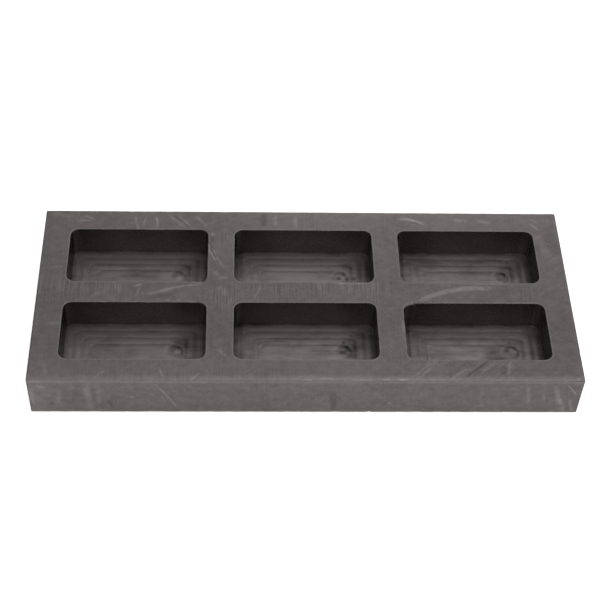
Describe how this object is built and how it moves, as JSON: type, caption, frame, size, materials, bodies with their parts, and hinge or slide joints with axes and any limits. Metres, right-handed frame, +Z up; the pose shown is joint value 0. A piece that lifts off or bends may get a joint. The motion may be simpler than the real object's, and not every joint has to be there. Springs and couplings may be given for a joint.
{
  "type": "ingot mould",
  "caption": "Flat rectangular graphite block with round-cornered open pockets machined into its top face, for casting small flat metal bars.",
  "frame": {"origin": "middle of the flat underside, on the surface that the mould rests on", "axes": "+X along the length of the block, +Y across it towards the back, +Z up, out of the open pockets"},
  "size_m": [0.19, 0.079, 0.018],
  "materials": {
    "graphite": "fine-grained machined graphite, matt with a faint metallic sheen, cutter marks and burnished edges"
  },
  "bodies": {
    "root": {"mould_block": "graphite"}
  },
  "joints": []
}
